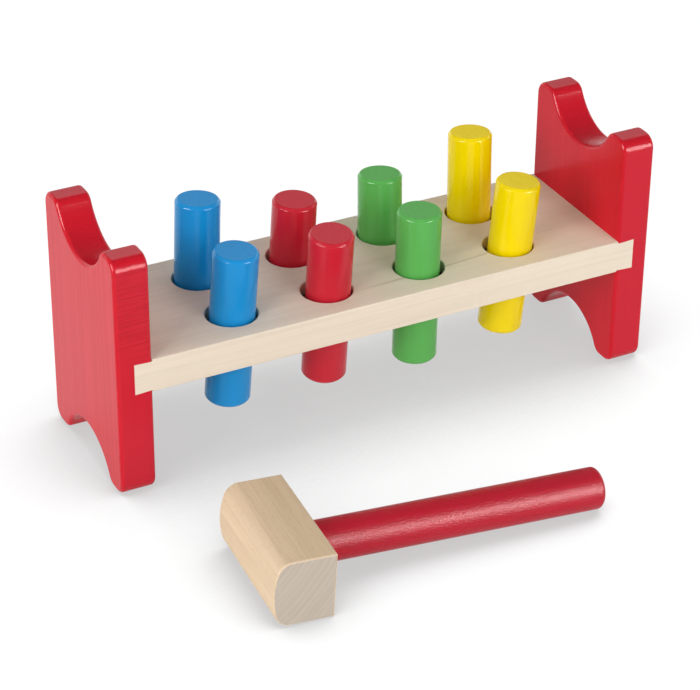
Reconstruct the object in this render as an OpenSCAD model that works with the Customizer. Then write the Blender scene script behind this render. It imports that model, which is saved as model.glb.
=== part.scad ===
// Peg pounding bench: a wooden board dovetailed into two scalloped end panels,
// with eight pegs gripped in its holes, and a mallet lying on the floor in front.
// Millimetres, +Z up. The origin is at floor level, in the middle of the set.

/* [End panels] */
// Width of an end panel, front to back
panel_w = 82.5; // [80:0.5:100]
// Height of an end panel
panel_h = 125; // [110:1:150]
// Thickness of an end panel
panel_t = 17.5; // [14:0.5:22]
// Radius of a panel's outer corners
panel_corner_r = 7; // [4:0.5:10]
// Width of the flat on top of an ear, and under a foot
ear_flat = 4.25; // [2:0.25:8]
// Depth of the scallop between two ears, and of the arch between two feet
scallop_d = 17.5; // [12:0.5:22]
// Radius where an ear's top turns down into the scallop
ear_r = 6; // [4:0.5:8]
// Radius of the rounded edges all round a panel
panel_edge_r = 2; // [1:0.25:3]

/* [Board] */
// Length of the board between the two panels
board_l = 250; // [240:1:300]
// Thickness of the board
board_t = 17; // [15:0.5:20]
// Radius of the eased long edges and hole rims
board_edge_r = 0.6; // [0.3:0.1:1]

/* [Sliding dovetails] */
// Length of a dovetail, which is the depth of its housing
dovetail_l = 9; // [6:0.5:11]
// Depth of the shoulder above and below a dovetail
dovetail_shoulder = 1; // [0.75:0.05:2]
// How much each flank spreads from the shoulder to the tip
dovetail_spread = 0.5; // [0.25:0.05:1.5]
// Glue line between a dovetail and its housing
glue_gap = 0.05; // [0.02:0.01:0.1]

/* [Peg holes] */
// Diameter of a hole
hole_d = 25.4; // [24.6:0.1:28]
// Distance between two columns of holes
column_pitch = 50; // [40:0.5:58]
// Distance between the front and back rows of holes
row_pitch = 38; // [34:0.5:44]

/* [Grip rings] */
// Depth of a ring's groove below the wall of its hole
groove_depth = 2.3; // [1.5:0.1:3]
// Height of a ring and of its groove
ring_h = 4; // [2:0.25:5]
// Radial gap between a ring and the wall of its groove
ring_gap = 0.1; // [0.05:0.05:0.3]
// Radial running clearance between a ring and its peg
peg_clearance = 0.05; // [0.02:0.01:0.09]

/* [Pegs] */
// Diameter of a peg
peg_d = 22; // [20:0.25:22]
// Length of a peg
peg_l = 80; // [70:1:95]
// Radius of the two soft edges round each end of a peg
peg_soft_r = 1; // [0.5:0.25:2]
// Width of the bevel between the two soft edges
peg_bevel = 1; // [0.5:0.25:2.5]
// Height of each front peg above the board, from left to right
front_rise = [33.75, 32, 31, 34.75]; // [28:0.25:46]
// Height of each back peg above the board, from left to right
back_rise = [41.25, 30.75, 32, 43]; // [28:0.25:46]
// Lean of each front peg to the right, as a share of its side play at the board's faces
front_lean = [0.3, 0.05, 0.1, 0.45]; // [-0.5:0.05:0.5]
// Lean of each back peg to the right, as a share of its side play
back_lean = [0.3, 0.25, 0.15, 0.15]; // [-0.5:0.05:0.5]
// Lean of each front peg to the back, as a share of its side play
front_tip = [-0.15, -0.4, 0.05, -0.05]; // [-0.4:0.05:0.4]
// Lean of each back peg to the back, as a share of its side play
back_tip = [0.25, -0.1, 0.4, 0.4]; // [-0.4:0.05:0.4]
// How far each front peg stands to the right of its hole's middle, as a share of its side play
front_shift = [-0.1, 0.3, -0.5, 0.25]; // [-0.5:0.05:0.3]
// How far each back peg stands to the right of its hole's middle, as a share of its side play
back_shift = [-0.6, -0.25, -0.7, -0.35]; // [-0.7:0.05:0.3]

/* [Mallet] */
// Length of the head, from one striking face to the other
head_l = 67; // [55:1:85]
// Thickness of the head across its two flat sides
head_t = 33; // [30:0.5:44]
// Width of the flat sides, from the handle's face to the ridges
head_flat_w = 22; // [21:0.5:32]
// How far the crowned face stands beyond the ridges
head_crown = 7.5; // [7:0.25:9]
// Radius of the shoulders between the ridges and the crowned face
shoulder_r = 8; // [6:0.25:8.5]
// Angle between a flat side and the shoulder at a ridge, in degrees
ridge_angle = 12; // [8:1:16]
// Angle of the faint line between a shoulder and the crowned face, in degrees
crown_angle = 6; // [4:1:10]
// Radius of the head's eased edges
head_edge_r = 1; // [0.5:0.25:2]
// Diameter of the handle
handle_d = 20; // [16:0.5:26]
// Length of the handle outside the head
handle_reach = 145; // [120:1:180]
// Depth of the blind socket in the head
socket_depth = 20; // [14:0.5:20]
// Radial gap between the handle and its socket
socket_gap = 0.05; // [0.02:0.01:0.1]
// Radius of the handle's rounded free end
handle_end_r = 2.5; // [1:0.25:6]

/* [Where the mallet lies] */
// Clear floor between the bench and the mallet's head
mallet_gap = 56; // [20:0.5:120]
// Where the handle leaves the head, to the left of the bench's middle
mallet_left = 92.5; // [60:0.5:110]
// Turn of the handle's free end towards the front, in degrees
mallet_turn = 4.5; // [0:0.5:12]

/* [Hidden] */
$fn = 64;
peg_colours = ["blue", "red", "green", "yellow"];
peg_rows = ["front", "back"];
peg_paints = [[0.14, 0.53, 0.78], [0.75, 0.14, 0.2], [0.3, 0.66, 0.36], [0.95, 0.84, 0]];
columns = [0 : len(peg_colours) - 1];
rows = [0 : len(peg_rows) - 1];
panel_paint = [0.78, 0.15, 0.2];
board_wood = [0.85, 0.77, 0.66];
head_wood = [0.87, 0.75, 0.6];
ring_rubber = [0.15, 0.15, 0.16];

// How far a cutter runs past the face that it cuts
over = 1;
// Angle at which a rounded edge meets a flat face, as a router bit leaves it
edge_meet = 8;

// The scallop's arc is tangent to the two arcs of the ears
scallop_half_w = panel_w / 2 - panel_corner_r - ear_flat;
arc_centres = (scallop_half_w * scallop_half_w + scallop_d * scallop_d) / (2 * scallop_d);
scallop_r = arc_centres - ear_r;
scallop_y = panel_h / 2 - scallop_d + scallop_r;
scallop_sweep = 90 - atan2(arc_centres - scallop_d, scallop_half_w);
ear_y = panel_h / 2 - ear_r;

board_z = panel_h / 2;
ring_d = hole_d + 2 * groove_depth;

// A peg leans and stands off its hole's middle as far as its side play lets it
side_play = (hole_d - peg_d) / 2;
lean_shares = [front_lean, back_lean];
tip_shares = [front_tip, back_tip];
shift_shares = [front_shift, back_shift];
peg_rise = [front_rise, back_rise];
function play_angle(share) = atan2(share * side_play, board_t / 2);
function peg_lean(column, row) = play_angle(lean_shares[row][column]);
function peg_tip(column, row) = play_angle(tip_shares[row][column]);

// The crowned face is an arc through the head's middle that crosses each shoulder's arc
head_w = head_flat_w + head_crown;
shoulder_x = shoulder_r * sin(ridge_angle) - head_flat_w;
shoulder_y = head_t / 2 - shoulder_r * cos(ridge_angle);
shoulder_in = head_w + shoulder_x;
crown_r = (shoulder_in * shoulder_in + shoulder_y * shoulder_y - shoulder_r * shoulder_r)
          / (2 * (shoulder_in - shoulder_r * cos(crown_angle)));
crown_x = crown_r - head_w;
crown_aim = atan2(shoulder_y, crown_x - shoulder_x);
shoulder_aim = asin(shoulder_r * sin(crown_angle) / norm([crown_x - shoulder_x, shoulder_y]));
crown_half = crown_aim + shoulder_aim;
crown_y = crown_r * sin(crown_aim);
shoulder_sweep = 90 - ridge_angle - crown_angle - crown_half;
shoulder_over = atan2(over, shoulder_r);
crown_over = atan2(over, crown_r);

// The mallet lies on the head's lower edge and tips until the handle's free end is down
tip_run = handle_reach - handle_end_r;
tip_height = head_t / 2 - handle_d / 2 + handle_end_r;
mallet_tip = acos(handle_end_r / norm([tip_run, tip_height])) - atan2(tip_run, tip_height);

// Depth of the set from the back of the bench to the front of the mallet
mallet_near = max(head_l / 2 * cos(mallet_turn),
                  handle_reach * sin(mallet_turn) + handle_d / 2 * cos(mallet_turn));
mallet_far = head_l / 2 * cos(mallet_turn) + head_w * sin(mallet_turn);
set_depth = panel_w + mallet_gap + mallet_far + mallet_near;
bench_y = set_depth / 2 - panel_w / 2;
mallet_y = mallet_near - set_depth / 2;

function piece_name(column, row, kind) = str(peg_colours[column], "_", peg_rows[row], "_", kind);

// Section of a cutter that rounds a square edge. The edge is at the origin,
// +X points out of one face and +Y out of the other.
module edge_section(r) {
    centre = r * cos(edge_meet);
    difference() {
        translate([-centre, -centre]) square(centre + over);
        translate([-centre, -centre]) circle(r);
    }
}

// Cutter for a straight edge of a face at z = 0, whose side faces the angle out
module edge_line(length, r, out) {
    rotate([90, 0, out])
        linear_extrude(length) edge_section(r);
}

// Cutter for the rim of a round boss, or of a hole where inward is true
module edge_arc(radius, r, start, sweep, inward = false) {
    rotate(start) rotate_extrude(angle = sweep)
        translate([radius, 0]) mirror([inward ? 1 : 0, 0]) edge_section(r);
}

// Outline of an end panel about its own middle: the ears and the feet are alike
module panel_outline() {
    difference() {
        rounded_rectangle(panel_w, panel_h, panel_corner_r);
        scallop();
        mirror([0, 1]) scallop();
    }
}

module rounded_rectangle(w, h, r) {
    square([w - 2 * r, h], center = true);
    square([w, h - 2 * r], center = true);
    for (x = [-1, 1], y = [-1, 1])
        translate([x * (w / 2 - r), y * (h / 2 - r)]) circle(r);
}

// The cut between two ears: a hollow arc that turns over smoothly onto each ear
module scallop() {
    translate([0, scallop_y]) circle(scallop_r);
    difference() {
        polygon([
            [scallop_half_w, ear_y], [scallop_half_w, scallop_y + over],
            [-scallop_half_w, scallop_y + over], [-scallop_half_w, ear_y], [0, scallop_y]]);
        for (x = [-scallop_half_w, scallop_half_w])
            translate([x, ear_y]) circle(ear_r);
    }
}

// Copies a cutter to all four quarters of a panel
module each_quarter() {
    for (x = [0, 1], y = [0, 1])
        mirror([x, 0, 0]) mirror([0, y, 0]) children();
}

// Edge cutters of a panel's straight sides and ear tops
module straight_edges() {
    for (x = [0, 1])
        mirror([x, 0, 0]) translate([panel_w / 2, panel_h / 2 - panel_corner_r, 0])
            edge_line(panel_h - 2 * panel_corner_r, panel_edge_r, 0);
    each_quarter() translate([scallop_half_w, panel_h / 2, 0])
        edge_line(ear_flat, panel_edge_r, 90);
}

// Edge cutters of a panel's corners and of the turns from its ears
module round_edges() {
    each_quarter() {
        translate([panel_w / 2 - panel_corner_r, panel_h / 2 - panel_corner_r, 0])
            edge_arc(panel_corner_r, panel_edge_r, 0, 90);
        translate([scallop_half_w, ear_y, 0])
            edge_arc(ear_r, panel_edge_r, 90, scallop_sweep);
    }
}

// Edge cutters of one half of each hollow arc: side is 0 on the right and 1 on the left
module hollow_edges(side) {
    for (y = [0, 1])
        mirror([0, y, 0]) mirror([side, 0, 0]) translate([0, scallop_y, 0])
            edge_arc(scallop_r, panel_edge_r, -90, scallop_sweep, true);
}

module on_both_faces() {
    translate([0, 0, panel_t]) children();
    mirror([0, 0, 1]) children();
}

// A dovetail that stands on z = 0, runs along X and points up
module dovetail(width, gap) {
    neck = board_t / 2 - dovetail_shoulder + gap;
    tip = neck + dovetail_spread;
    rotate([90, 0, 90])
        linear_extrude(width, center = true)
            polygon([[-neck, -over], [neck, -over], [neck, 0], [tip, dovetail_l + gap],
                     [-tip, dovetail_l + gap], [-neck, 0]]);
}

// A panel lying flat, with its inner face down and its dovetail housing in that face
module panel() {
    difference() {
        linear_extrude(panel_t) panel_outline();
        on_both_faces() straight_edges();
        on_both_faces() round_edges();
        on_both_faces() hollow_edges(0);
        on_both_faces() hollow_edges(1);
        dovetail(panel_w + 2 * over, glue_gap);
    }
}

// Stands what lies flat against one end of the board: side is -1 or 1
module at_end(side) {
    translate([0, bench_y, board_z])
        mirror([side < 0 ? 1 : 0, 0, 0])
            translate([board_l / 2, 0, 0]) rotate([90, 0, 90]) children();
}

module left_end_panel() {
    color(panel_paint) at_end(-1) panel();
}

module right_end_panel() {
    color(panel_paint) at_end(1) panel();
}

// Places the middle of one peg hole
module at_hole(column, row) {
    x = (column - (len(peg_colours) - 1) / 2) * column_pitch;
    y = (row - (len(peg_rows) - 1) / 2) * row_pitch;
    translate([x, bench_y + y, board_z]) children();
}

// A through hole with eased rims, and the groove that holds its ring
module peg_hole() {
    cylinder(d = hole_d, h = board_t + 2 * over, center = true);
    cylinder(d = ring_d, h = ring_h, center = true);
    for (z = [0, 1])
        mirror([0, 0, z]) translate([0, 0, board_t / 2])
            edge_arc(hole_d / 2, board_edge_r, 0, 360, true);
}

module board_long_edges() {
    for (y = [0, 1], z = [0, 1])
        mirror([0, y, 0]) mirror([0, 0, z])
            translate([-board_l / 2, panel_w / 2, board_t / 2])
                edge_line(board_l, board_edge_r, 90);
}

module bench_board() {
    color(board_wood) difference() {
        union() {
            translate([0, bench_y, board_z]) difference() {
                cube([board_l, panel_w, board_t], center = true);
                board_long_edges();
            }
            for (side = [-1, 1]) at_end(side) dovetail(panel_w, 0);
        }
        for (row = rows, column = columns) at_hole(column, row) peg_hole();
    }
}

// Stands a peg's own axis in its hole, through the middle of the board
module on_peg_axis(column, row) {
    at_hole(column, row)
        translate([side_play * shift_shares[row][column], 0, 0])
            rotate([-peg_tip(column, row), peg_lean(column, row), 0]) children();
}

// A turned rod on z = 0 with rounded ends
module turned_rod(diameter, length, bottom_r, top_r) {
    r = diameter / 2;
    rotate_extrude() {
        square([r - max(bottom_r, top_r), length]);
        translate([0, bottom_r]) square([r, length - bottom_r - top_r]);
        square([r - bottom_r, length / 2]);
        translate([0, length / 2]) square([r - top_r, length / 2]);
        translate([r - bottom_r, bottom_r]) circle(bottom_r);
        translate([r - top_r, length - top_r]) circle(top_r);
    }
}

// A turned peg on z = 0. A bevel of 3 across to 4 along runs between the soft edges of each end.
module turned_peg() {
    r = peg_d / 2;
    flat_r = r - peg_soft_r - 0.6 * peg_bevel;
    reach = peg_soft_r + 0.8 * peg_bevel;
    rotate_extrude() {
        polygon([[0, 0], [flat_r, 0], [flat_r + 0.8 * peg_soft_r, 0.4 * peg_soft_r],
                 [r - 0.2 * peg_soft_r, reach - 0.6 * peg_soft_r], [r, reach],
                 [r, peg_l - reach], [r - 0.2 * peg_soft_r, peg_l - reach + 0.6 * peg_soft_r],
                 [flat_r + 0.8 * peg_soft_r, peg_l - 0.4 * peg_soft_r], [flat_r, peg_l], [0, peg_l]]);
        for (z = [peg_soft_r, peg_l - peg_soft_r]) translate([flat_r, z]) circle(peg_soft_r);
        for (z = [reach, peg_l - reach]) translate([r - peg_soft_r, z]) circle(peg_soft_r);
    }
}

module peg(column, row) {
    slope = cos(peg_tip(column, row)) * cos(peg_lean(column, row));
    top = (board_t / 2 + peg_rise[row][column]) / slope;
    color(peg_paints[column]) on_peg_axis(column, row)
        translate([0, 0, top - peg_l]) turned_peg();
}

// A soft ring seated in its groove, whose bore follows the lean of its peg
module grip_ring(column, row) {
    color(ring_rubber) difference() {
        at_hole(column, row) cylinder(r = ring_d / 2 - ring_gap, h = ring_h, center = true);
        on_peg_axis(column, row)
            cylinder(r = peg_d / 2 + peg_clearance, h = ring_d, center = true);
    }
}

// Lays the mallet on the floor. Its own frame has the handle's axis along +X and the
// handle's face of the head at x = 0.
module on_floor() {
    translate([-mallet_left, mallet_y, 0]) rotate([0, mallet_tip, -mallet_turn])
        translate([0, 0, head_t / 2]) children();
}

// Section of the head about the handle's axis, with the handle's face at x = 0
module head_section() {
    intersection() {
        translate([-head_w - over, -head_t / 2]) square([head_w + over, head_t]);
        translate([crown_x, 0]) circle(crown_r);
        union() {
            translate([shoulder_x, -head_t / 2]) square([-shoulder_x, head_t]);
            translate([-head_w - over, -crown_y]) square([head_w + over, 2 * crown_y]);
            for (y = [-1, 1]) translate([shoulder_x, y * shoulder_y]) circle(shoulder_r);
        }
    }
}

// Copies what is at the top of the head's section to its bottom
module on_both_sides() {
    for (y = [0, 1]) mirror([0, y, 0]) children();
}

// Edge cutters of the flat sides and the handle's face at one end of the head
module head_flat_edges() {
    on_both_sides() translate([-head_flat_w - over, head_t / 2, 0])
        edge_line(head_flat_w + 2 * over, head_edge_r, 90);
    translate([0, head_t / 2 + over, 0]) edge_line(head_t + 2 * over, head_edge_r, 0);
}

// Edge cutters of the shoulders at one end of the head
module head_shoulder_edges() {
    first = 90 + ridge_angle - shoulder_over;
    on_both_sides() translate([shoulder_x, shoulder_y, 0])
        edge_arc(shoulder_r, head_edge_r, first, shoulder_sweep + 2 * shoulder_over);
}

// Edge cutter of the crowned face at one end of the head
module head_crown_edge() {
    half = crown_half + crown_over;
    translate([crown_x, 0, 0]) edge_arc(crown_r, head_edge_r, 180 - half, 2 * half);
}

// Edge cutters along the two edges at the handle's face
module head_long_edges() {
    on_both_sides() translate([0, head_t / 2, -over])
        linear_extrude(head_l + 2 * over) edge_section(head_edge_r);
}

module on_both_ends() {
    translate([0, 0, head_l]) children();
    mirror([0, 0, 1]) children();
}

module mallet_head() {
    color(head_wood) on_floor() difference() {
        translate([0, head_l / 2, 0]) rotate([90, 0, 0]) difference() {
            linear_extrude(head_l) head_section();
            on_both_ends() head_flat_edges();
            on_both_ends() head_shoulder_edges();
            on_both_ends() head_crown_edge();
            head_long_edges();
        }
        translate([-socket_depth, 0, 0]) rotate([0, 90, 0])
            cylinder(r = handle_d / 2 + socket_gap, h = socket_depth + over);
    }
}

module mallet_handle() {
    color(panel_paint) on_floor()
        translate([-socket_depth, 0, 0]) rotate([0, 90, 0])
            turned_rod(handle_d, socket_depth + handle_reach, head_edge_r, handle_end_r);
}

bench_board();
left_end_panel();
right_end_panel();
for (row = rows, column = columns)
    peg(column, row);
for (row = rows, column = columns)
    grip_ring(column, row);
mallet_head();
mallet_handle();
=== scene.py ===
import math

import bpy
from bpy.props import FloatProperty, FloatVectorProperty, PointerProperty
from mathutils import Matrix, Vector


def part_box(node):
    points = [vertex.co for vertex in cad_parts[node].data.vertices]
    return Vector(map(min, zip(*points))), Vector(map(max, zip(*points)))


bl_info = {
    "name": "Peg pounding bench",
    "version": (1, 0, 0),
    "blender": (4, 5, 0),
    "location": "View3D > Sidebar > Pounding bench",
    "description": "Paints and sands the pieces of a peg pounding bench and lights it on a pale floor",
    "category": "Object",
}

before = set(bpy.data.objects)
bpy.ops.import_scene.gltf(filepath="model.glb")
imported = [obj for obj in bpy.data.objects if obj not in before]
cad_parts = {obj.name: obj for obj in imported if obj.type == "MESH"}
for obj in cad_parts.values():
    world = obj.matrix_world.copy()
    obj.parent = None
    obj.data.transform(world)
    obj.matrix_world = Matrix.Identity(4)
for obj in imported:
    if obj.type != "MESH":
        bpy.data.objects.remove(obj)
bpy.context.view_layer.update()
PEG_COLOURS = ("blue", "red", "green", "yellow")
PEG_ROWS = ("front", "back")

# Azimuths and elevations are in degrees, seen from the bench's middle.
LAMPS = (("left_lamp", -68), ("right_lamp", 20))
LAMP_ELEVATION = 24
CARDS = (("left_card", -77, 23), ("right_card", 27, 18))
SENSOR_WIDTH = 36
LOOK_AT = (0, 0.004171, 0.020875)
FLOOR_REACH = 12.0
FLOOR_DROP = 0.0002
SHADOW_REACH = 0.11

# The handle's end in the socket and its free end, as distances from its lowest x.
SOCKET_END = 0.022
FREE_END = 0.155


def srgb(red, green, blue):
    """A colour as a screen shows it, 0 to 255, as the linear values that Blender keeps."""
    def linear(value):
        value /= 255
        return value / 12.92 if value <= 0.04045 else ((value + 0.055) / 1.055) ** 2.4
    return linear(red), linear(green), linear(blue)


def colour(name, description, *shade):
    return FloatVectorProperty(name=name, description=description, subtype="COLOR", size=3,
                               min=0, max=1, default=srgb(*shade))


def length(name, description, default):
    return FloatProperty(name=name, description=description, subtype="DISTANCE", unit="LENGTH",
                         min=0, precision=6, default=default)


def share(name, description, default):
    return FloatProperty(name=name, description=description, subtype="FACTOR", min=0, max=1,
                         default=default)


class BenchPaints(bpy.types.PropertyGroup):
    """Lacquers of the end panels, the pegs and the mallet's handle."""

    panel_red: colour("Panel red", "Lacquer of the two end panels", 208, 24, 42)
    handle_red: colour("Handle red", "Lacquer of the mallet's handle", 190, 22, 44)
    peg_blue: colour("Peg blue", "Lacquer of the blue pegs", 25, 146, 214)
    peg_red: colour("Peg red", "Lacquer of the red pegs", 203, 36, 52)
    peg_green: colour("Peg green", "Lacquer of the green pegs", 93, 179, 86)
    peg_yellow: colour("Peg yellow", "Lacquer of the yellow pegs", 248, 219, 0)
    gloss: share("Lacquer roughness", "Roughness of a smooth, well covered lacquer face", 0.15)
    grain_pitch: length("Grain pitch", "Distance between the wood's lines that show through", 0.0011)
    relief: length("Lacquer relief", "How deep the wood's lines are felt in the lacquer", 0.00003)


class BenchWoods(bpy.types.PropertyGroup):
    """Bare woods of the board and of the mallet's head."""

    board_pale: colour("Board, pale", "Early wood of the board", 237, 223, 202)
    board_dark: colour("Board, dark", "Late wood lines of the board", 212, 192, 166)
    head_pale: colour("Head, pale", "Early wood of the mallet's head", 229, 202, 167)
    head_dark: colour("Head, dark", "Late wood lines and flecks of the mallet's head", 196, 160, 118)
    end_grain: colour("End grain", "Sawn end grain of the mallet's head", 194, 180, 164)
    line_pitch: length("Line pitch", "Distance between fine lines along the board", 0.0012)
    relief: length("Wood relief", "How deep the sanded grain is felt", 0.00004)


class BenchRubber(bpy.types.PropertyGroup):
    """Soft rubber of the grip rings in the board's holes."""

    black: colour("Rubber", "Colour of the grip rings", 40, 40, 42)
    relief: length("Rubber relief", "Height of the moulded rubber's fine grit", 0.00004)


class BenchStage(bpy.types.PropertyGroup):
    """Floor, lamps and camera round the bench."""

    floor: colour("Floor", "Colour of the floor", 246, 246, 246)
    left_lamp: FloatProperty(name="Left lamp", description="How bright a white face turned to it gets",
                             min=0, default=0.5)
    right_lamp: FloatProperty(name="Right lamp", description="How bright a white face turned to it gets",
                              min=0, default=0.34)
    sky: FloatProperty(name="Sky", description="Brightness of the soft light from all round", min=0,
                       default=0.39)
    backdrop: FloatProperty(name="Backdrop", description="Brightness of the white wall behind the bench",
                            min=0, default=1.45)
    shine: FloatProperty(name="Shine", description="Brightness of the two cards that the gloss reflects",
                         min=0, default=26.0)
    lamp_size: length("Lamp size", "Side of each square soft lamp", 0.9)
    card_width: length("Card width", "Width of each card that the gloss reflects", 1.0)
    card_height: length("Card height", "Height of each card that the gloss reflects", 0.6)
    lamp_distance: length("Lamp distance", "From the bench's middle to each lamp", 1.6)
    azimuth: FloatProperty(name="Azimuth", description="Where the camera stands round the bench",
                           subtype="ANGLE", default=math.radians(-27.542))
    elevation: FloatProperty(name="Elevation", description="How far the camera looks down",
                             subtype="ANGLE", default=math.radians(31.062))
    roll: FloatProperty(name="Roll", description="How far the camera leans", subtype="ANGLE",
                        default=math.radians(0.55))
    distance: length("Distance", "From the camera to the point that it looks at", 1.284841)
    lens: FloatProperty(name="Lens", description="Focal length in millimetres", min=1, default=132.822)


class Shade:
    """A socket of a finish's nodes. Maths on it adds Math nodes, and make() adds any other node."""

    def __init__(self, tree, socket=None):
        self.tree = tree
        self.socket = socket

    def make(self, kind, settings, sockets, output=0):
        """Adds a node: its settings first, then the values or links of its sockets."""
        node = self.tree.nodes.new(kind)
        for name, value in settings.items():
            setattr(node, name, value)
        for name, value in sockets.items():
            target = node.inputs[name]
            if isinstance(value, Shade):
                self.tree.links.new(value.socket, target)
            elif target.type == "RGBA":
                target.default_value = (*value, 1)
            else:
                target.default_value = value
        return Shade(self.tree, node.outputs[output] if node.outputs else None)

    def other(self, output):
        """Another output of the same node."""
        return Shade(self.tree, self.socket.node.outputs[output])

    def math(self, operation, first, second=0.0):
        return self.make("ShaderNodeMath", {"operation": operation}, {0: first, 1: second})

    def __add__(self, value):
        return self.math("ADD", self, value)

    def __sub__(self, value):
        return self.math("SUBTRACT", self, value)

    def __rsub__(self, value):
        return self.math("SUBTRACT", value, self)

    def __mul__(self, value):
        return self.math("MULTIPLY", self, value)

    def __pow__(self, value):
        return self.math("POWER", self, value)

    def __abs__(self):
        return self.math("ABSOLUTE", self)

    __radd__ = __add__
    __rmul__ = __mul__

    def smooth(self, low, high):
        """0 at low and 1 at high, with a soft step between."""
        return self.make("ShaderNodeMapRange", {"interpolation_type": "SMOOTHSTEP"},
                         {"Value": self, "From Min": low, "From Max": high})

    def blend(self, first, second):
        """A colour that goes from first to second as this value goes from 0 to 1."""
        return self.make("ShaderNodeMix", {"data_type": "RGBA"}, {0: self, 6: first, 7: second}, 2)

    def split(self):
        """The three values of a vector."""
        x = self.make("ShaderNodeSeparateXYZ", {}, {0: self})
        return x, x.other(1), x.other(2)

    def noise(self, pitch, detail=2.0, distortion=0.0):
        """Noise at this place, whose cells are pitch = (x, y, z) across."""
        cells = self.make("ShaderNodeVectorMath", {"operation": "DIVIDE"}, {0: self, 1: pitch})
        return self.make("ShaderNodeTexNoise", {}, {"Vector": cells, "Scale": 1.0, "Detail": detail,
                                                    "Distortion": distortion})


def start_finish(name, turned=None):
    """A new material, the place on the surface in millimetres and its normal, turned to a piece's frame."""
    material = bpy.data.materials.new(name)
    material.use_nodes = True
    material.node_tree.nodes.clear()
    surface = Shade(material.node_tree)
    place = surface.make("ShaderNodeTexCoord", {}, {}, "Object")
    normal = place.other("Normal")
    if turned:
        place = surface.make("ShaderNodeMapping", {"vector_type": "TEXTURE"},
                             {"Vector": place, "Location": turned.translation, "Rotation": turned.to_euler()})
        normal = surface.make("ShaderNodeMapping", {"vector_type": "TEXTURE"},
                              {"Vector": normal, "Rotation": turned.to_euler()})
    millimetres = surface.make("ShaderNodeVectorMath", {"operation": "SCALE"}, {0: place, "Scale": 1000.0})
    return material, millimetres, normal


def close_finish(base, roughness, height, relief, constants, matt=None):
    """Joins a finish's colour, roughness and height to its shader, without gloss where it is matt."""
    bump = base.make("ShaderNodeBump", {}, {"Strength": 1.0, "Distance": relief, "Height": height})
    surface = {"Base Color": base, "Roughness": roughness, "Normal": bump, **constants}
    shader = base.make("ShaderNodeBsdfPrincipled", {}, surface)
    if matt:
        bare = base.make("ShaderNodeBsdfPrincipled", {}, {**surface, "Specular IOR Level": 0.0})
        shader = base.make("ShaderNodeMixShader", {}, {0: matt, 1: shader, 2: bare})
    base.make("ShaderNodeOutputMaterial", {}, {"Surface": shader})


def wear(piece, material):
    """Puts a finish on a piece."""
    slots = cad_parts[piece].material_slots
    if not slots:
        raise RuntimeError(f"{piece} has nowhere to put a material")
    for slot in slots:
        slot.material = material


def darker(shade, amount):
    return tuple(value * amount for value in shade)


def panel_lacquer(paints):
    """Red lacquer over upright grain, with sanding ripples and streaks on the left panel, painted sheen on
    the front and back faces, a painted reflection on the ear tops and a painted highlight on the rounded
    edges.
    """
    narrow_face_sheen_red = srgb(208, 40, 56)
    streak_red = srgb(220, 52, 64)
    ear_top_reflection_red = srgb(204, 89, 95)
    rounded_edge_highlight_red = srgb(216, 44, 54)
    material, place, normal = start_finish("panel_red_lacquer")
    x, _, z = place.split()
    across, front, up = normal.split()
    pitch = paints.grain_pitch * 1000
    face = abs(across).smooth(0.9, 0.99)
    narrow = abs(front).smooth(0.85, 0.98)
    rounded = (across * across * (1 - across * across) * 4).smooth(0.1, 0.9)
    end_grain = abs(up).smooth(0.5, 0.95)
    grain = place.noise((pitch, pitch, 60 * pitch), 3.0)
    cloud = place.noise((26, 26, 60), 2.0)
    left = x.smooth(0, -80)
    ripple = place.noise((24, 24, 0.7), 3.0) * narrow * z.smooth(62, 80) * left
    fibre = place.noise((1.1, 0.5, 0.5), 2.0) * end_grain
    brushed = place.noise((3.4, 1.3, 1.3), 3.0, 0.5) * end_grain
    ear_top = up.smooth(0.9, 0.99) * z.smooth(116, 122)
    streaks = place.noise((1.8 * pitch, 1.8 * pitch, 150 * pitch), 2.0).smooth(0.4, 0.62) * face * left
    base = (grain.smooth(0.35, 0.7) * 0.35).blend(tuple(paints.panel_red), darker(paints.panel_red, 0.78))
    base = (cloud.smooth(0.3, 0.75) * 0.25).blend(base, darker(paints.panel_red, 0.86))
    base = (fibre.smooth(0.3, 0.7) * 0.4).blend(base, darker(paints.panel_red, 0.6))
    # Painted sheen: the front and back faces are given a paler red.
    base = (narrow * 0.7).blend(base, narrow_face_sheen_red)
    base = (streaks * 0.3).blend(base, streak_red)
    # Painted reflection: the ear tops, made matt below, are given a much paler red in place of the backdrop's
    # reflection, mottled by brush marks.
    base = (ear_top * (brushed * 0.6 + 0.7)).blend(base, ear_top_reflection_red)
    base = (ripple.smooth(0.38, 0.62) * 0.42).blend(base, darker(paints.panel_red, 0.62))
    # Painted highlight: the rounded edges are given a lighter red.
    base = (rounded * 0.16).blend(base, rounded_edge_highlight_red)
    roughness = paints.gloss + grain * 0.06 + end_grain * 0.05 + face * 0.04 - rounded * 0.03
    height = grain * 0.8 + ripple * 1.6 + fibre * 0.9 + brushed * 4.0
    close_finish(base, roughness, height, paints.relief, {"Specular IOR Level": 0.13}, ear_top * 0.95)
    return material


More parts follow.
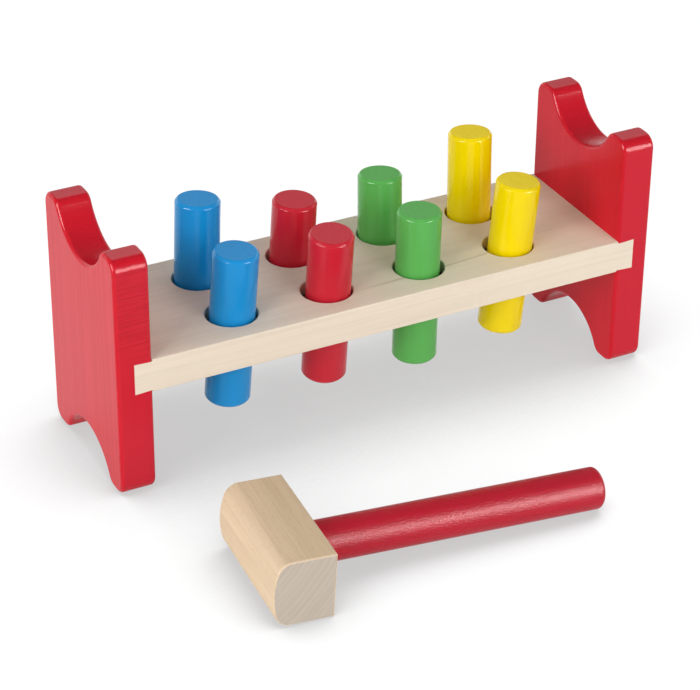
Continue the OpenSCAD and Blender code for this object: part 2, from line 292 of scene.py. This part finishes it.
def peg_lacquer(paints, name):
    """Glossy lacquer on a turned peg, soaked in and so matt on the end grain of its flat ends, whose colour
    is made paler there as a painted reflection of the white backdrop.
    """
    paint = tuple(getattr(paints, "peg_" + name))
    material, place, normal = start_finish("peg_" + name + "_lacquer")
    up = normal.split()[2]
    pitch = paints.grain_pitch * 1000
    flat_end = abs(up).smooth(0.93, 0.985)
    grain = place.noise((1.6 * pitch, 1.6 * pitch, 50 * pitch), 3.0)
    cloud = place.noise((9, 9, 30), 2.0)
    ends = place.noise((0.8, 3.5, 4), 3.0, 0.6)
    base = (grain.smooth(0.35, 0.7) * 0.25).blend(paint, darker(paint, 0.92))
    base = (cloud.smooth(0.35, 0.7) * 0.2).blend(base, darker(paint, 0.94))
    # Painted reflection: the matt flat ends are given a paler colour in place of the backdrop's reflection.
    pale = tuple(min(1, value + 0.06) for value in paint)
    base = (flat_end * 0.9).blend(base, ends.smooth(0.3, 0.7).blend(pale, darker(pale, 0.93)))
    roughness = paints.gloss - 0.05 + grain * 0.06 + flat_end * (0.16 + ends * 0.12)
    height = grain * 0.25 + flat_end * ends * 1.6
    close_finish(base, roughness, height, paints.relief, {"Specular IOR Level": 0.22}, flat_end * 0.97)
    return material


def board_wood(woods, middle):
    """Pale sanded wood whose grain runs along the board, with one darker line near its front."""
    material, place, normal = start_finish("board_bare_wood")
    x, y, z = place.split()
    up = normal.split()[2]
    pitch = woods.line_pitch * 1000
    drift = place.noise((170, 50, 50), 2.0) * 5
    bent = place.make("ShaderNodeCombineXYZ", {}, {"X": x, "Y": y + drift, "Z": z + drift})
    figure = bent.noise((240, 9, 9), 2.0)
    lines = bent.noise((110, pitch, pitch), 3.0)
    pores = bent.noise((5, 0.32, 0.32), 1.0)
    line_y = middle - 26.3 + x * (x * 0.0006 + 0.03)
    along = x.smooth(-16, 6) * x.smooth(92, 70) * up.smooth(0.9, 0.99)
    line = abs(y - line_y).smooth(0.75, 0.1) * along
    beside = (y - line_y).smooth(4, 0) * (y - line_y).smooth(-0.2, 0.2) * along
    base = figure.smooth(0.35, 0.7).blend(tuple(woods.board_pale), darker(woods.board_pale, 0.94))
    base = (lines.smooth(0.45, 0.75) * 0.26).blend(base, tuple(woods.board_dark))
    base = (pores.smooth(0.62, 0.75) * 0.2).blend(base, tuple(woods.board_dark))
    base = (line * 0.4 + beside * 0.12).blend(base, srgb(158, 138, 104))
    roughness = 0.55 + lines * 0.12 - figure * 0.06
    height = lines * 0.7 - pores.smooth(0.6, 0.75) * 0.6 - line * 0.5
    close_finish(base, roughness, height, woods.relief, {"Specular IOR Level": 0.35})
    return material


def head_wood(woods, turned):
    """Tan hardwood with short flecks along the head and ring lines on its sawn ends."""
    material, place, normal = start_finish("mallet_head_wood", turned)
    x, y, z = place.split()
    along = normal.split()[1]
    sawn = abs(along).smooth(0.85, 0.97)
    drift = place.noise((30, 90, 30), 2.0) * 4
    bent = place.make("ShaderNodeCombineXYZ", {}, {"X": x + drift, "Y": y, "Z": z + drift})
    figure = bent.noise((7, 120, 7), 2.0)
    lines = bent.noise((0.9, 60, 0.9), 3.0)
    flecks = bent.noise((0.34, 3.6, 0.34), 1.0)
    reach = ((x + 62) * (x + 62) + (z - 48) * (z - 48)) ** 0.5 + drift * 1.5
    seasons = place.make("ShaderNodeCombineXYZ", {}, {"X": reach, "Y": (x - z) * 0.06})
    rings = seasons.noise((1.5, 1.5, 1.5), 2.0).smooth(0.3, 0.7)
    dots = place.noise((0.4, 0.4, 0.4), 2.0)
    base = figure.smooth(0.3, 0.72).blend(tuple(woods.head_pale), darker(woods.head_pale, 0.88))
    base = (lines.smooth(0.42, 0.75) * 0.3).blend(base, tuple(woods.head_dark))
    base = (flecks.smooth(0.6, 0.72) * 0.4).blend(base, tuple(woods.head_dark))
    ends = (rings * 0.45).blend(tuple(woods.end_grain), darker(woods.end_grain, 0.78))
    ends = (dots.smooth(0.5, 0.8) * 0.25).blend(ends, darker(woods.end_grain, 0.66))
    base = sawn.blend(base, ends)
    roughness = 0.5 + lines * 0.12 + sawn * 0.2
    height = (1 - sawn) * (lines * 0.6 - flecks.smooth(0.6, 0.72) * 0.7) + sawn * (rings * 0.7 + dots * 0.6)
    close_finish(base, roughness, height, woods.relief, {"Specular IOR Level": 0.4})
    return material


def handle_lacquer(paints, turned):
    """Red lacquer brushed over a turned rod, with a faint uneven skin."""
    material, place, normal = start_finish("mallet_handle_lacquer", turned)
    out = normal.split()[0]
    pitch = paints.grain_pitch * 1000
    grain = place.noise((45 * pitch, pitch, pitch), 3.0)
    skin = place.noise((1.2, 0.75, 0.75), 3.0, 0.5)
    cloud = place.noise((40, 9, 9), 2.0)
    rounded = (out * out * (1 - out * out) * 4).smooth(0.15, 0.9)
    base = (grain.smooth(0.35, 0.7) * 0.35).blend(tuple(paints.handle_red), darker(paints.handle_red, 0.78))
    base = (cloud.smooth(0.35, 0.7) * 0.2).blend(base, darker(paints.handle_red, 0.84))
    # Painted highlight: where the handle's ends round over they are given a lighter red.
    base = (rounded * 0.12).blend(base, srgb(206, 44, 58))
    roughness = paints.gloss + 0.12 + skin * 0.14
    height = grain * 0.8 + skin * 7.0
    close_finish(base, roughness, height, paints.relief, {"Specular IOR Level": 0.21})
    return material


def ring_rubber(rubber):
    """Matt black rubber with a fine moulded grit."""
    material, place, _ = start_finish("grip_ring_rubber")
    grit = place.noise((0.35, 0.35, 0.35), 2.0)
    bloom = place.noise((5, 5, 5), 2.0)
    base = (bloom.smooth(0.4, 0.7) * 0.5).blend(tuple(rubber.black), srgb(66, 64, 62))
    close_finish(base, 0.62 + grit * 0.2, grit, rubber.relief, {"Specular IOR Level": 0.4})
    return material


def mallet_frame():
    """The mallet's own axes: X along the handle and away from the head, Z up from its flat side."""
    points = [vertex.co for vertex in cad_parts["mallet_handle"].data.vertices]
    start = min(points, key=lambda point: point.x)
    near = [point for point in points if (point - start).length < SOCKET_END]
    far = [point for point in points if (point - start).length > FREE_END]
    x = (sum(far, Vector()) / len(far) - sum(near, Vector()) / len(near)).normalized()
    y = Vector((0, 0, 1)).cross(x).normalized()
    turned = Matrix((x, y, x.cross(y))).transposed().to_4x4()
    low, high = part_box("mallet_head")
    turned.translation = (low + high) / 2
    return turned


class BENCH_OT_finish_board(bpy.types.Operator):
    """Finishes the bench's board in bare wood"""

    bl_idname = "bench.finish_board"
    bl_label = "Finish the board"

    def execute(self, context):
        low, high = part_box("bench_board")
        wear("bench_board", board_wood(context.scene.bench_woods, (low.y + high.y) * 500))
        return {"FINISHED"}


class BENCH_OT_lacquer_panels(bpy.types.Operator):
    """Lacquers the two end panels red"""

    bl_idname = "bench.lacquer_panels"
    bl_label = "Lacquer the end panels"

    def execute(self, context):
        lacquer = panel_lacquer(context.scene.bench_paints)
        for panel in ("left_end_panel", "right_end_panel"):
            wear(panel, lacquer)
        return {"FINISHED"}


class BENCH_OT_lacquer_pegs(bpy.types.Operator):
    """Lacquers the eight pegs in their four colours"""

    bl_idname = "bench.lacquer_pegs"
    bl_label = "Lacquer the pegs"

    def execute(self, context):
        for name in PEG_COLOURS:
            lacquer = peg_lacquer(context.scene.bench_paints, name)
            for row in PEG_ROWS:
                wear(f"{name}_{row}_peg", lacquer)
        return {"FINISHED"}


class BENCH_OT_fit_rings(bpy.types.Operator):
    """Gives the eight grip rings their rubber"""

    bl_idname = "bench.fit_rings"
    bl_label = "Finish the grip rings"

    def execute(self, context):
        rubber = ring_rubber(context.scene.bench_rubber)
        for name in PEG_COLOURS:
            for row in PEG_ROWS:
                wear(f"{name}_{row}_grip_ring", rubber)
        return {"FINISHED"}


class BENCH_OT_finish_head(bpy.types.Operator):
    """Finishes the mallet's head in bare wood"""

    bl_idname = "bench.finish_head"
    bl_label = "Finish the mallet's head"

    def execute(self, context):
        wear("mallet_head", head_wood(context.scene.bench_woods, mallet_frame()))
        return {"FINISHED"}


class BENCH_OT_lacquer_handle(bpy.types.Operator):
    """Lacquers the mallet's handle red"""

    bl_idname = "bench.lacquer_handle"
    bl_label = "Lacquer the mallet's handle"

    def execute(self, context):
        wear("mallet_handle", handle_lacquer(context.scene.bench_paints, mallet_frame()))
        return {"FINISHED"}


def floor_finish(shade):
    """Pale floor with faint unevenness; to camera, glossy and transmission rays it mostly glows white, with a
    painted shadow where ambient occlusion finds the bench or mallet close by, and it keeps a small share of
    its real shadows.
    """
    painted_shadow_grey = srgb(198, 198, 198)
    material, place, _ = start_finish("pale_floor")
    seen = place.make("ShaderNodeLightPath", {}, {}, "Is Camera Ray")
    seen = seen.math("MAXIMUM", seen, seen.other("Is Glossy Ray"))
    seen = seen.math("MAXIMUM", seen, seen.make("ShaderNodeLightPath", {}, {}, "Is Transmission Ray"))
    open_sky = place.make("ShaderNodeAmbientOcclusion", {"samples": 16}, {"Distance": SHADOW_REACH}, "AO")
    # Painted shadow: the glow turns grey where ambient occlusion finds the bench or the mallet close by.
    seen_shade = open_sky.smooth(0.38, 0.92).blend(painted_shadow_grey, (1, 1, 1))
    mottle = place.noise((180, 180, 180), 2.0)
    base = (mottle * 0.04).blend(shade, darker(shade, 0.9))
    soft = base.make("ShaderNodeBsdfDiffuse", {}, {"Color": base})
    glow = base.make("ShaderNodeEmission", {}, {"Color": seen_shade, "Strength": 1.08})
    mixed = base.make("ShaderNodeMixShader", {}, {0: seen * 0.88, 1: soft, 2: glow})
    base.make("ShaderNodeOutputMaterial", {}, {"Surface": mixed})
    return material


def lay_floor(shade):
    corners = [(x * FLOOR_REACH, y * FLOOR_REACH, 0) for x, y in ((-1, -1), (1, -1), (1, 1), (-1, 1))]
    mesh = bpy.data.meshes.new("floor")
    mesh.from_pydata(corners, [], [(0, 1, 2, 3)])
    mesh.materials.append(floor_finish(shade))
    floor = bpy.data.objects.new("floor", mesh)
    floor.location.z = -FLOOR_DROP
    bpy.context.scene.collection.objects.link(floor)


def set_sky(stage):
    """Soft light from all round, and more of it from a white wall behind the bench."""
    world = bpy.data.worlds.new("studio")
    world.use_nodes = True
    world.node_tree.nodes.clear()
    sky = Shade(world.node_tree)
    x, y, z = sky.make("ShaderNodeTexCoord", {}, {}, "Generated").split()
    wall = (x * 0.46 + y * 0.89).smooth(-0.1, 0.6) * z.smooth(0.52, 0.24)
    light = sky.make("ShaderNodeBackground", {},
                     {"Color": (1, 1, 1), "Strength": wall * stage.backdrop + stage.sky})
    sky.make("ShaderNodeOutputWorld", {}, {"Surface": light})
    bpy.context.scene.world = world


def sight(azimuth, elevation):
    """The direction from the bench to what stands at that azimuth and elevation."""
    flat = math.cos(elevation)
    return Vector((math.sin(azimuth) * flat, -math.cos(azimuth) * flat, math.sin(elevation)))


def hang_lamp(name, azimuth, elevation, sides, energy, distance, middle):
    """A soft lamp that faces the bench's middle."""
    data = bpy.data.lights.new(name, "AREA")
    data.shape = "RECTANGLE"
    data.size, data.size_y = sides
    data.energy = energy
    lamp = bpy.data.objects.new(name, data)
    away = sight(math.radians(azimuth), math.radians(elevation))
    lamp.location = middle + away * distance
    lamp.rotation_mode = "QUATERNION"
    lamp.rotation_quaternion = away.to_track_quat("Z", "Y")
    bpy.context.scene.collection.objects.link(lamp)
    return lamp


def hang_lamps(stage, middle):
    """Two soft lamps that light the bench, and two bright cards that only its gloss shows."""
    facing = (math.pi * stage.lamp_distance) ** 2
    sides = (stage.lamp_size, stage.lamp_size)
    for name, azimuth in LAMPS:
        power = getattr(stage, name) * facing
        lamp = hang_lamp(name, azimuth, LAMP_ELEVATION, sides, power, stage.lamp_distance, middle)
        lamp.visible_glossy = False
    sides = (stage.card_width, stage.card_height)
    power = stage.shine * math.pi * stage.card_width * stage.card_height
    for name, azimuth, elevation in CARDS:
        card = hang_lamp(name, azimuth, elevation, sides, power, stage.lamp_distance, middle)
        card.visible_diffuse = False


def aim_camera(stage, middle):
    data = bpy.data.cameras.new("camera")
    data.lens = stage.lens
    data.sensor_width = SENSOR_WIDTH
    camera = bpy.data.objects.new("camera", data)
    back = sight(stage.azimuth, stage.elevation)
    right = Vector((math.cos(stage.azimuth), math.sin(stage.azimuth), 0))
    up = back.cross(right)
    leaned = right * math.cos(stage.roll) + up * math.sin(stage.roll)
    turned = Matrix((leaned, back.cross(leaned), back)).transposed().to_4x4()
    turned.translation = middle + Vector(LOOK_AT) + back * stage.distance
    camera.matrix_world = turned
    bpy.context.scene.collection.objects.link(camera)
    bpy.context.scene.camera = camera


class BENCH_OT_set_stage(bpy.types.Operator):
    """Lays the floor, hangs the lamps and aims the camera"""

    bl_idname = "bench.set_stage"
    bl_label = "Set the stage"

    def execute(self, context):
        stage = context.scene.bench_stage
        low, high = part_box("bench_board")
        middle = Vector((0, (low.y + high.y) / 2, 0))
        lay_floor(tuple(stage.floor))
        set_sky(stage)
        hang_lamps(stage, middle)
        aim_camera(stage, middle)
        context.scene.view_settings.view_transform = "Standard"
        return {"FINISHED"}


class BENCH_PT_finishes(bpy.types.Panel):
    """Lists the bench's finishes and the steps that put them on"""

    bl_idname = "BENCH_PT_finishes"
    bl_label = "Pounding bench"
    bl_space_type = "VIEW_3D"
    bl_region_type = "UI"
    bl_category = "Pounding bench"

    def draw(self, context):
        for name in GROUPS:
            box = self.layout.box()
            for setting in getattr(context.scene, name).bl_rna.properties:
                if setting.identifier not in ("rna_type", "name"):
                    box.prop(getattr(context.scene, name), setting.identifier)
        for step in STEPS:
            self.layout.operator(step.bl_idname)


GROUPS = {
    "bench_paints": BenchPaints,
    "bench_woods": BenchWoods,
    "bench_rubber": BenchRubber,
    "bench_stage": BenchStage,
}
STEPS = (BENCH_OT_finish_board, BENCH_OT_lacquer_panels, BENCH_OT_lacquer_pegs, BENCH_OT_fit_rings,
         BENCH_OT_finish_head, BENCH_OT_lacquer_handle, BENCH_OT_set_stage)
CLASSES = (*GROUPS.values(), *STEPS, BENCH_PT_finishes)


def register():
    for each in CLASSES:
        bpy.utils.register_class(each)
    for name, group in GROUPS.items():
        setattr(bpy.types.Scene, name, PointerProperty(type=group))


def unregister():
    for name in GROUPS:
        delattr(bpy.types.Scene, name)
    for each in reversed(CLASSES):
        bpy.utils.unregister_class(each)


def main():
    register()
    bpy.ops.bench.finish_board()
    bpy.ops.bench.lacquer_panels()
    bpy.ops.bench.lacquer_pegs()
    bpy.ops.bench.fit_rings()
    bpy.ops.bench.finish_head()
    bpy.ops.bench.lacquer_handle()
    bpy.ops.bench.set_stage()


if __name__ == "__main__":
    main()
